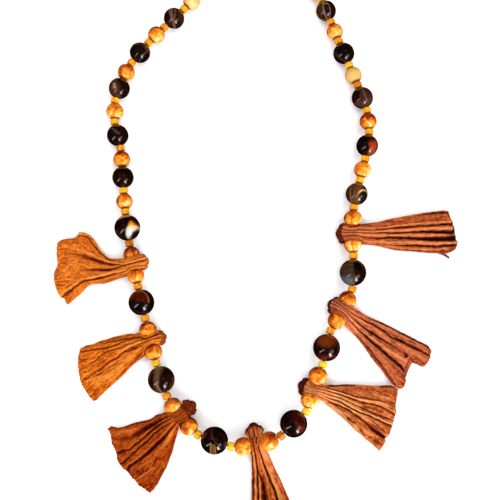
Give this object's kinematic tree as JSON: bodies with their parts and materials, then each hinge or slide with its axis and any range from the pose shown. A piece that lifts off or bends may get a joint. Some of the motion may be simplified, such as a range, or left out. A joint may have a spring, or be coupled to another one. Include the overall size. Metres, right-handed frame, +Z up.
{
  "type": "bead necklace with pleated cloth fans",
  "caption": "Long bead necklace lying flat: dark glossy and pale wooden beads, small spacers and pleated bark cloth fans on one thread, closed by a barrel clasp.",
  "frame": {"origin": "bottom centre of the whole necklace's box, on the surface it lies on", "axes": "+Z up from that surface; +Y from the front of the necklace towards the back of the neck; +X to the right as it is seen from above"},
  "size_m": [0.182, 0.268, 0.012],
  "materials": {
    "dark_bead": "polished, near-black to plum brown with brown, amber and cream bands",
    "light_bead": "lacquered, cream to orange with red-brown blotches",
    "spacer": "waxed, yellow ochre",
    "bark_cloth": "matt fibrous bark cloth, orange brown, darker in the folds",
    "thread": "waxed dark brown twine",
    "back_strand": "polished, as the dark beads",
    "clasp": "satin brass with light tarnish"
  },
  "bodies": {
    "root": {"dark_big_1": "dark_bead", "dark_big_2": "dark_bead", "dark_big_3": "dark_bead", "dark_big_4": "dark_bead", "dark_big_5": "dark_bead", "dark_big_6": "dark_bead", "dark_big_7": "dark_bead", "dark_small_1": "dark_bead", "dark_small_2": "dark_bead", "dark_small_3": "dark_bead", "dark_small_4": "dark_bead", "dark_small_5": "dark_bead", "dark_small_6": "dark_bead", "dark_small_7": "dark_bead", "dark_small_8": "dark_bead", "dark_small_9": "dark_bead", "dark_small_10": "dark_bead", "light_1": "light_bead", "light_2": "light_bead", "light_3": "light_bead", "light_4": "light_bead", "light_5": "light_bead", "light_6": "light_bead", "light_7": "light_bead", "light_8": "light_bead", "light_9": "light_bead", "light_10": "light_bead", "light_11": "light_bead", "light_12": "light_bead", "light_13": "light_bead", "light_14": "light_bead", "light_15": "light_bead", "light_16": "light_bead", "light_17": "light_bead", "light_18": "light_bead", "light_19": "light_bead", "light_20": "light_bead", "light_21": "light_bead", "light_22": "light_bead", "light_23": "light_bead", "light_24": "light_bead", "fan_1": "bark_cloth", "fan_2": "bark_cloth", "fan_3": "bark_cloth", "fan_4": "bark_cloth", "fan_5": "bark_cloth", "fan_6": "bark_cloth", "fan_7": "bark_cloth", "spacers_left": "spacer", "spacers_front": "spacer", "spacers_right": "spacer", "thread": "thread", "back_left": "back_strand", "back_right": "back_strand", "barrel_clasp": "clasp"}
  },
  "joints": []
}
